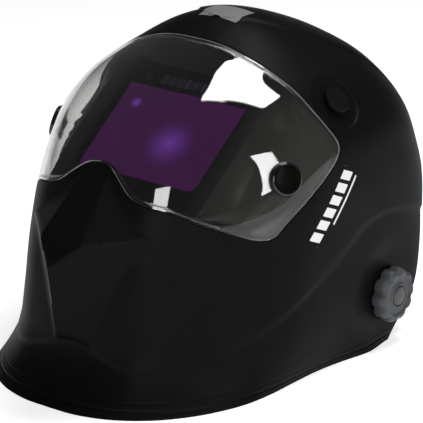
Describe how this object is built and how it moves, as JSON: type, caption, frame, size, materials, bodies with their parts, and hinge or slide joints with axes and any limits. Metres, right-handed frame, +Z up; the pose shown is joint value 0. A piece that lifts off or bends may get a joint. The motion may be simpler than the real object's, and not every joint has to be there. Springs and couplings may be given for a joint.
{
  "type": "welding helmet",
  "caption": "Black welding helmet with a wide clear outer visor over a dark tilted filter, side tension knobs, a grind button and an adjustable ratchet headgear.",
  "frame": {"origin": "on the floor under the middle of the whole helmet, which stands on its rim", "axes": "+X to the wearer's left, +Y to the wearer's back, +Z up; the face looks to -Y"},
  "size_m": [0.2416, 0.3626, 0.2275],
  "materials": {
    "shell_black": "satin moulded nylon",
    "frame_black": "matt moulded plastic",
    "clear": "clear polished polycarbonate",
    "filter_purple": "coated, dark violet",
    "gloss_black": "polished",
    "knob_grey": "fine moulded texture",
    "cap_grey": "satin",
    "strap_black": "flexible nylon strap",
    "pad_cloth": "perforated absorbent cloth on foam",
    "cell_blue": "dark solar cell",
    "zinc_steel": "zinc plated",
    "lead_black": "soft PVC sheath"
  },
  "bodies": {
    "helmet": {"helmet_shell": "shell_black", "outer_visor": "clear", "lens_frame": "frame_black", "filter_case": "frame_black", "filter_glass": "filter_purple", "inner_cover_lens": "clear", "solar_cell": "cell_blue", "left_arc_sensor": "gloss_black", "right_arc_sensor": "gloss_black", "filter_retainer": "frame_black", "grind_switch": "frame_black", "switch_lead": "lead_black", "left_tilt_stop": "frame_black", "right_tilt_stop": "frame_black", "left_friction_washer": "pad_cloth", "right_friction_washer": "pad_cloth"},
    "left_visor_lock": {"left_visor_lock": "gloss_black"},
    "right_visor_lock": {"right_visor_lock": "gloss_black"},
    "grind_button": {"grind_button": "shell_black"},
    "left_tension_knob": {"left_tension_knob": "knob_grey", "left_knob_cap": "cap_grey"},
    "right_tension_knob": {"right_tension_knob": "knob_grey", "right_knob_cap": "cap_grey"},
    "sensitivity_knob": {"sensitivity_knob": "knob_grey"},
    "delay_knob": {"delay_knob": "knob_grey"},
    "battery_tray": {"battery_tray": "frame_black", "coin_cell": "zinc_steel"},
    "side_arms": {"left_side_arm": "strap_black", "right_side_arm": "strap_black", "left_pivot_bolt": "zinc_steel", "right_pivot_bolt": "zinc_steel"},
    "headgear": {"headband": "strap_black", "brow_pad": "pad_cloth", "left_crown_strap": "strap_black", "right_crown_strap": "strap_black", "crown_pin": "knob_grey", "left_band_block": "strap_black", "right_band_block": "strap_black", "left_reach_lock": "knob_grey", "right_reach_lock": "knob_grey", "ratchet_housing": "strap_black", "rear_pad": "pad_cloth"},
    "ratchet_knob": {"ratchet_knob": "knob_grey", "pinion": "gloss_black"},
    "left_rack": {"left_rack_strap": "strap_black"},
    "right_rack": {"right_rack_strap": "strap_black"}
  },
  "joints": [
    {"name": "headgear_tilt", "type": "hinge", "parent": "helmet", "child": "side_arms", "pos_m": [0, 0.0497, 0.036], "axis": [1, 0, 0], "range_deg": [-55, 30]},
    {"name": "reach_slide", "type": "slide", "parent": "side_arms", "child": "headgear", "axis": [0, 1, 0], "range_m": [-0.008, 0.008]},
    {"name": "left_tension_knob_turn", "type": "hinge", "parent": "helmet", "child": "left_tension_knob", "pos_m": [0.1097, 0.0497, 0.036], "axis": [1, 0, 0], "range_deg": [-180, 180]},
    {"name": "right_tension_knob_turn", "type": "hinge", "parent": "helmet", "child": "right_tension_knob", "pos_m": [-0.1097, 0.0497, 0.036], "axis": [-1, 0, 0], "range_deg": [-180, 180]},
    {"name": "left_visor_lock_turn", "type": "hinge", "parent": "helmet", "child": "left_visor_lock", "pos_m": [0.09859, -0.05328, 0.14522], "axis": [0.8494, -0.4486, 0.278], "range_deg": [0, 90]},
    {"name": "right_visor_lock_turn", "type": "hinge", "parent": "helmet", "child": "right_visor_lock", "pos_m": [-0.09859, -0.05328, 0.14522], "axis": [-0.8494, -0.4486, 0.278], "range_deg": [0, 90]},
    {"name": "grind_button_press", "type": "slide", "parent": "helmet", "child": "grind_button", "axis": [-0.7359, 0.0102, -0.677], "range_m": [0, 0.0015], "stiffness_N_per_m": 400, "springref_m": -0.0005},
    {"name": "sensitivity_knob_turn", "type": "hinge", "parent": "helmet", "child": "sensitivity_knob", "pos_m": [-0.042, -0.0943, 0.1203], "axis": [0, 0.6, -0.8], "range_deg": [-135, 135]},
    {"name": "delay_knob_turn", "type": "hinge", "parent": "helmet", "child": "delay_knob", "pos_m": [-0.018, -0.0943, 0.1203], "axis": [0, 0.6, -0.8], "range_deg": [-135, 135]},
    {"name": "battery_tray_slide", "type": "slide", "parent": "helmet", "child": "battery_tray", "axis": [0, -0.8, -0.6], "range_m": [0, 0.024]},
    {"name": "ratchet_knob_turn", "type": "hinge", "parent": "headgear", "child": "ratchet_knob", "pos_m": [0, 0.1677, 0.041], "axis": [0, 1, 0], "range_deg": [0, 114.5]},
    {"name": "left_rack_slide", "type": "slide", "parent": "headgear", "child": "left_rack", "axis": [-1, 0, 0], "range_m": [0, 0.0101]},
    {"name": "right_rack_slide", "type": "slide", "parent": "headgear", "child": "right_rack", "axis": [1, 0, 0], "range_m": [0, 0.0101]}
  ],
  "couplings": [
    {"joint": "left_rack_slide", "follows": "ratchet_knob_turn", "m_per_rad": 0.005},
    {"joint": "right_rack_slide", "follows": "ratchet_knob_turn", "m_per_rad": 0.005}
  ]
}
